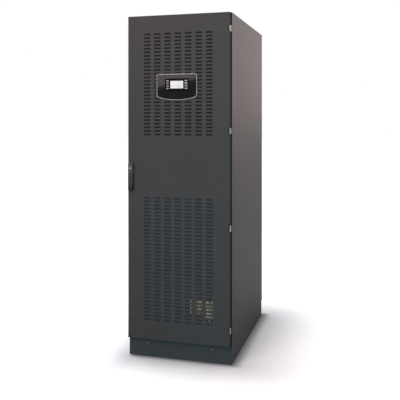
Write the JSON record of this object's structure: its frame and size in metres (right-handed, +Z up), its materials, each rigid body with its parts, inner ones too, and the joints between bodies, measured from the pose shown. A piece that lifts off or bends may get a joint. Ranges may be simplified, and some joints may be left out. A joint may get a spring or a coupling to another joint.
{
  "type": "modular ups cabinet",
  "caption": "Tall steel power cabinet with a slotted hinged front door, a display, a swing handle and stacked plug-in modules.",
  "frame": {"origin": "on the floor, under the middle of the overall box, door shut", "axes": "+X to the right seen from the front, +Y from the front to the back, +Z up"},
  "size_m": [0.6024, 0.97, 1.92],
  "materials": {
    "plinth_paint": "satin",
    "frame_steel": "satin",
    "cabinet_paint": "fine texture",
    "zinc_steel": "satin",
    "door_paint": "fine texture",
    "hinge_steel": "satin",
    "bezel_silver": "satin",
    "display_black": "gloss",
    "display_screen": "gloss",
    "display_keys": "satin",
    "black_plastic": "matt",
    "handle_black": "satin",
    "handle_grey": "satin",
    "module_paint": "satin",
    "terminal_brass": "satin",
    "screw_steel": "satin"
  },
  "bodies": {
    "cabinet": {"base_rails": "frame_steel", "bypass_unit": "module_paint", "compartment_back": "zinc_steel", "fixing_screws": "screw_steel", "floor_plate": "zinc_steel", "hinge_brackets": "hinge_steel", "module_rail_left": "zinc_steel", "module_rail_right": "zinc_steel", "plinth_front": "plinth_paint", "plinth_rear": "plinth_paint", "plinth_sides": "plinth_paint", "post_front_left": "frame_steel", "post_front_right": "frame_steel", "post_rear_left": "frame_steel", "post_rear_right": "frame_steel", "power_module_1": "module_paint", "power_module_2": "module_paint", "power_module_3": "module_paint", "power_module_4": "module_paint", "power_module_5": "module_paint", "power_module_6": "module_paint", "power_module_7": "module_paint", "rear_panel": "cabinet_paint", "roof_panel": "cabinet_paint", "side_panel_left": "cabinet_paint", "side_panel_right": "cabinet_paint", "terminal_bars": "terminal_brass", "terminal_block": "black_plastic", "terminal_bracket": "zinc_steel", "top_rails": "frame_steel"},
    "door": {"door_skin": "door_paint", "door_stiffener_left": "door_paint", "door_stiffener_right": "door_paint", "hinge_leaves": "hinge_steel", "display_bezel": "bezel_silver", "display_face": "display_black", "display_screen": "display_screen", "display_keys": "display_keys", "display_housing": "black_plastic", "handle_base": "handle_black", "lock_case": "black_plastic"},
    "handle_head": {"handle_head": "handle_grey"},
    "handle_lever": {"handle_lever": "handle_grey"}
  },
  "joints": [
    {"name": "door_hinge", "type": "hinge", "parent": "cabinet", "child": "door", "pos_m": [0.2955, -0.46, 1.01], "axis": [0, 0, 1], "range_deg": [0, 120]},
    {"name": "handle_turn", "type": "hinge", "parent": "door", "child": "handle_head", "pos_m": [-0.276, -0.476, 1.061], "axis": [0, -1, 0], "range_deg": [0, 90]},
    {"name": "handle_lift", "type": "hinge", "parent": "handle_head", "child": "handle_lever", "pos_m": [-0.276, -0.4805, 1.034], "axis": [-1, 0, 0], "range_deg": [0, 35]}
  ]
}
